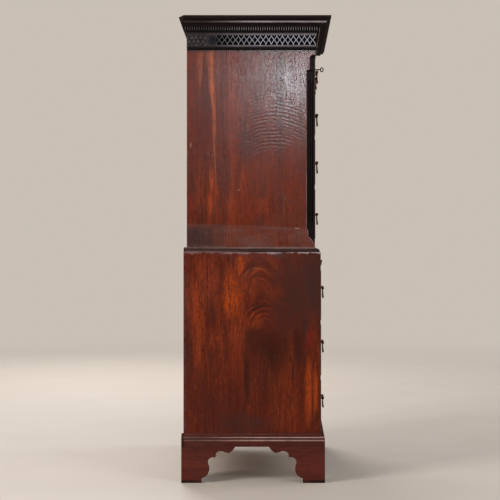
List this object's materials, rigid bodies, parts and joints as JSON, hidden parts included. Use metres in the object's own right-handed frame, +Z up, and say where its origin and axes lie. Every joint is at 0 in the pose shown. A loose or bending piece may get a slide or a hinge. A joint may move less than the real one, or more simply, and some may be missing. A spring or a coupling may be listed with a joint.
{
  "type": "chest on chest",
  "caption": "Tall two-stage chest of drawers with canted upper corners, fret frieze under a deep cornice, pull-out slide and shaped bracket feet.",
  "frame": {"origin": "middle of the chest on the floor, under the centre of its overall width and depth", "axes": "+Z up, -Y out of the drawer fronts, +X to the right of someone facing the drawers"},
  "size_m": [1.15, 0.623, 1.9],
  "materials": {
    "mahogany": "old waxed mahogany, figured, reddish brown",
    "oak": "dry oiled oak, unpolished",
    "pine": "old pine darkened by age, unpolished",
    "brass": "cast brass with dark patina, rubbed bright on the grips",
    "steel": "old iron, dull and brown"
  },
  "bodies": {
    "case": {"upper_side_panels": "mahogany", "upper_corner_posts": "mahogany", "upper_drawer_rails": "mahogany", "cornice_moulding": "mahogany", "frieze_boards": "mahogany", "frieze_fret": "mahogany", "lower_side_panels": "mahogany", "lower_drawer_rails": "mahogany", "waist_moulding": "mahogany", "base_moulding": "mahogany", "bracket_feet": "mahogany", "upper_inner_boards": "pine", "lower_inner_boards": "pine", "upper_back_boards": "pine", "lower_back_boards": "pine", "foot_blocks": "pine"},
    "brushing_slide": {"brushing_slide": "mahogany", "brushing_slide_knobs": "brass"},
    "short_left_drawer": {"short_left_drawer_front": "mahogany", "short_left_drawer_box": "oak", "short_left_drawer_hardware": "brass"},
    "short_left_left_bail": {"short_left_left_bail": "brass"},
    "short_left_right_bail": {"short_left_right_bail": "brass"},
    "short_right_drawer": {"short_right_drawer_front": "mahogany", "short_right_drawer_box": "oak", "short_right_drawer_hardware": "brass"},
    "short_right_left_bail": {"short_right_left_bail": "brass"},
    "short_right_right_bail": {"short_right_right_bail": "brass"},
    "upper_first_drawer": {"upper_first_drawer_front": "mahogany", "upper_first_drawer_box": "oak", "upper_first_drawer_hardware": "brass"},
    "upper_first_left_bail": {"upper_first_left_bail": "brass"},
    "upper_first_right_bail": {"upper_first_right_bail": "brass"},
    "upper_second_drawer": {"upper_second_drawer_front": "mahogany", "upper_second_drawer_box": "oak", "upper_second_drawer_hardware": "brass"},
    "upper_second_left_bail": {"upper_second_left_bail": "brass"},
    "upper_second_right_bail": {"upper_second_right_bail": "brass"},
    "upper_third_drawer": {"upper_third_drawer_front": "mahogany", "upper_third_drawer_box": "oak", "upper_third_drawer_hardware": "brass"},
    "upper_third_left_bail": {"upper_third_left_bail": "brass"},
    "upper_third_right_bail": {"upper_third_right_bail": "brass"},
    "lower_first_drawer": {"lower_first_drawer_front": "mahogany", "lower_first_drawer_box": "oak", "lower_first_drawer_hardware": "brass"},
    "lower_first_left_bail": {"lower_first_left_bail": "brass"},
    "lower_first_right_bail": {"lower_first_right_bail": "brass"},
    "lower_second_drawer": {"lower_second_drawer_front": "mahogany", "lower_second_drawer_box": "oak", "lower_second_drawer_hardware": "brass"},
    "lower_second_left_bail": {"lower_second_left_bail": "brass"},
    "lower_second_right_bail": {"lower_second_right_bail": "brass"},
    "lower_third_drawer": {"lower_third_drawer_front": "mahogany", "lower_third_drawer_box": "oak", "lower_third_drawer_hardware": "brass"},
    "lower_third_left_bail": {"lower_third_left_bail": "brass"},
    "lower_third_right_bail": {"lower_third_right_bail": "brass"},
    "drawer_key": {"drawer_key": "steel"},
    "drawer_lock_bolt": {"drawer_lock_bolt": "steel"}
  },
  "joints": [
    {"name": "short_left_drawer_slide", "type": "slide", "parent": "case", "child": "short_left_drawer", "axis": [0, -1, 0], "range_m": [0, 0.4]},
    {"name": "short_left_left_bail_swing", "type": "hinge", "parent": "short_left_drawer", "child": "short_left_left_bail", "pos_m": [-0.365, -0.2565, 1.687], "axis": [-1, 0, 0], "range_deg": [-6, 160]},
    {"name": "short_left_right_bail_swing", "type": "hinge", "parent": "short_left_drawer", "child": "short_left_right_bail", "pos_m": [-0.108, -0.2565, 1.687], "axis": [-1, 0, 0], "range_deg": [-6, 160]},
    {"name": "short_right_drawer_slide", "type": "slide", "parent": "case", "child": "short_right_drawer", "axis": [0, -1, 0], "range_m": [0, 0.4]},
    {"name": "short_right_left_bail_swing", "type": "hinge", "parent": "short_right_drawer", "child": "short_right_left_bail", "pos_m": [0.108, -0.2565, 1.687], "axis": [-1, 0, 0], "range_deg": [-6, 160]},
    {"name": "short_right_right_bail_swing", "type": "hinge", "parent": "short_right_drawer", "child": "short_right_right_bail", "pos_m": [0.365, -0.2565, 1.687], "axis": [-1, 0, 0], "range_deg": [-6, 160]},
    {"name": "upper_first_drawer_slide", "type": "slide", "parent": "case", "child": "upper_first_drawer", "axis": [0, -1, 0], "range_m": [0, 0.4]},
    {"name": "upper_first_left_bail_swing", "type": "hinge", "parent": "upper_first_drawer", "child": "upper_first_left_bail", "pos_m": [-0.365, -0.2565, 1.508], "axis": [-1, 0, 0], "range_deg": [-6, 160]},
    {"name": "upper_first_right_bail_swing", "type": "hinge", "parent": "upper_first_drawer", "child": "upper_first_right_bail", "pos_m": [0.365, -0.2565, 1.508], "axis": [-1, 0, 0], "range_deg": [-6, 160]},
    {"name": "upper_second_drawer_slide", "type": "slide", "parent": "case", "child": "upper_second_drawer", "axis": [0, -1, 0], "range_m": [0, 0.4]},
    {"name": "upper_second_left_bail_swing", "type": "hinge", "parent": "upper_second_drawer", "child": "upper_second_left_bail", "pos_m": [-0.365, -0.2565, 1.31], "axis": [-1, 0, 0], "range_deg": [-6, 160]},
    {"name": "upper_second_right_bail_swing", "type": "hinge", "parent": "upper_second_drawer", "child": "upper_second_right_bail", "pos_m": [0.365, -0.2565, 1.31], "axis": [-1, 0, 0], "range_deg": [-6, 160]},
    {"name": "upper_third_drawer_slide", "type": "slide", "parent": "case", "child": "upper_third_drawer", "axis": [0, -1, 0], "range_m": [0, 0.4]},
    {"name": "upper_third_left_bail_swing", "type": "hinge", "parent": "upper_third_drawer", "child": "upper_third_left_bail", "pos_m": [-0.365, -0.2565, 1.095], "axis": [-1, 0, 0], "range_deg": [-6, 160]},
    {"name": "upper_third_right_bail_swing", "type": "hinge", "parent": "upper_third_drawer", "child": "upper_third_right_bail", "pos_m": [0.365, -0.2565, 1.095], "axis": [-1, 0, 0], "range_deg": [-6, 160]},
    {"name": "lower_first_drawer_slide", "type": "slide", "parent": "case", "child": "lower_first_drawer", "axis": [0, -1, 0], "range_m": [0, 0.42]},
    {"name": "lower_first_left_bail_swing", "type": "hinge", "parent": "lower_first_drawer", "child": "lower_first_left_bail", "pos_m": [-0.414, -0.2795, 0.7905], "axis": [-1, 0, 0], "range_deg": [-6, 160]},
    {"name": "lower_first_right_bail_swing", "type": "hinge", "parent": "lower_first_drawer", "child": "lower_first_right_bail", "pos_m": [0.414, -0.2795, 0.7905], "axis": [-1, 0, 0], "range_deg": [-6, 160]},
    {"name": "lower_second_drawer_slide", "type": "slide", "parent": "case", "child": "lower_second_drawer", "axis": [0, -1, 0], "range_m": [0, 0.42]},
    {"name": "lower_second_left_bail_swing", "type": "hinge", "parent": "lower_second_drawer", "child": "lower_second_left_bail", "pos_m": [-0.414, -0.2795, 0.565], "axis": [-1, 0, 0], "range_deg": [-6, 160]},
    {"name": "lower_second_right_bail_swing", "type": "hinge", "parent": "lower_second_drawer", "child": "lower_second_right_bail", "pos_m": [0.414, -0.2795, 0.565], "axis": [-1, 0, 0], "range_deg": [-6, 160]},
    {"name": "lower_third_drawer_slide", "type": "slide", "parent": "case", "child": "lower_third_drawer", "axis": [0, -1, 0], "range_m": [0, 0.42]},
    {"name": "lower_third_left_bail_swing", "type": "hinge", "parent": "lower_third_drawer", "child": "lower_third_left_bail", "pos_m": [-0.414, -0.2795, 0.3365], "axis": [-1, 0, 0], "range_deg": [-6, 160]},
    {"name": "lower_third_right_bail_swing", "type": "hinge", "parent": "lower_third_drawer", "child": "lower_third_right_bail", "pos_m": [0.414, -0.2795, 0.3365], "axis": [-1, 0, 0], "range_deg": [-6, 160]},
    {"name": "key_turn", "type": "hinge", "parent": "short_left_drawer", "child": "drawer_key", "pos_m": [-0.2365, -0.2465, 1.716], "axis": [0, 1, 0], "range_deg": [0, 180]},
    {"name": "lock_bolt_throw", "type": "slide", "parent": "short_left_drawer", "child": "drawer_lock_bolt", "axis": [0, 0, 1], "range_m": [0, 0.007]},
    {"name": "brushing_slide_pull", "type": "slide", "parent": "case", "child": "brushing_slide", "axis": [0, -1, 0], "range_m": [0, 0.28]}
  ],
  "couplings": [
    {"joint": "key_turn", "follows": "lock_bolt_throw", "rad_per_m": 448.79}
  ]
}
